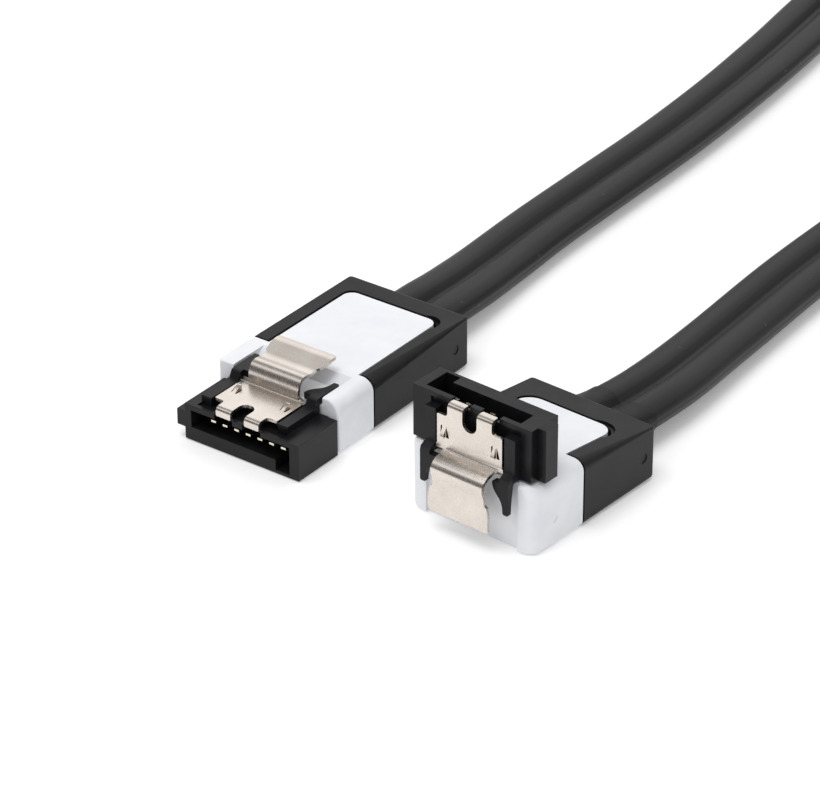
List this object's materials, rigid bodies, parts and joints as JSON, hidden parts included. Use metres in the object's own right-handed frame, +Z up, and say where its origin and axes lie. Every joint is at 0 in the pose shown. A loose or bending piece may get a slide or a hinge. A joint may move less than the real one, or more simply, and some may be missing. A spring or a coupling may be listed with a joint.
{
  "type": "sata data cable",
  "caption": "Flat twin-lobed data cable with a straight and a right-angled latching plug, its slack tied in a loop.",
  "frame": {"origin": "middle of the two plugs' footprint, on the surface that they stand on; the cable doesn't count", "axes": "+Z up; +Y from the straight plug's mouth towards its cable; +X from the straight plug to the right-angled one"},
  "size_m": [0.0555, 0.2492, 0.0115],
  "materials": {
    "housing_black": "moulded, slight sheen",
    "moulding_white": "smooth moulded",
    "moulding_black": "fine satin",
    "latch_steel": "bright, fine grain",
    "contact_gold": "plated",
    "wire_insulation": "smooth",
    "copper": "bare drawn wire",
    "foil": "wrapped foil",
    "jacket_black": "extruded, satin",
    "tie_black": "moulded nylon"
  },
  "bodies": {
    "root": {"housing_straight": "housing_black", "contact_straight_1": "contact_gold", "contact_straight_2": "contact_gold", "contact_straight_3": "contact_gold", "contact_straight_4": "contact_gold", "contact_straight_5": "contact_gold", "contact_straight_6": "contact_gold", "contact_straight_7": "contact_gold", "mould_core_straight": "moulding_white", "mould_frame_straight": "moulding_black", "signal_wire_straight_1": "wire_insulation", "signal_wire_straight_2": "wire_insulation", "signal_wire_straight_3": "wire_insulation", "signal_wire_straight_4": "wire_insulation", "ground_wire_straight_1": "copper", "ground_wire_straight_2": "copper", "ground_wire_straight_3": "copper", "shielded_pair_straight_1": "foil", "shielded_pair_straight_2": "foil", "housing_angled": "housing_black", "contact_angled_1": "contact_gold", "contact_angled_2": "contact_gold", "contact_angled_3": "contact_gold", "contact_angled_4": "contact_gold", "contact_angled_5": "contact_gold", "contact_angled_6": "contact_gold", "contact_angled_7": "contact_gold", "mould_core_angled": "moulding_white", "mould_frame_angled": "moulding_black", "signal_wire_angled_1": "wire_insulation", "signal_wire_angled_2": "wire_insulation", "signal_wire_angled_3": "wire_insulation", "signal_wire_angled_4": "wire_insulation", "ground_wire_angled_1": "copper", "ground_wire_angled_2": "copper", "ground_wire_angled_3": "copper", "shielded_pair_angled_1": "foil", "shielded_pair_angled_2": "foil", "cable_jacket": "jacket_black", "cable_tie": "tie_black"},
    "latch_straight": {"latch_straight": "latch_steel"},
    "latch_angled": {"latch_angled": "latch_steel"}
  },
  "joints": [
    {"name": "latch_straight_press", "type": "hinge", "parent": "root", "child": "latch_straight", "pos_m": [-0.01186, -0.0121, 0.004], "axis": [-1, 0, 0], "range_deg": [0, 5], "stiffness_Nm_per_rad": 0.02},
    {"name": "latch_angled_press", "type": "hinge", "parent": "root", "child": "latch_angled", "pos_m": [0.01102, -0.01002, 0.01135], "axis": [0.9984, -0.0572, 0], "range_deg": [0, 5], "stiffness_Nm_per_rad": 0.02}
  ]
}
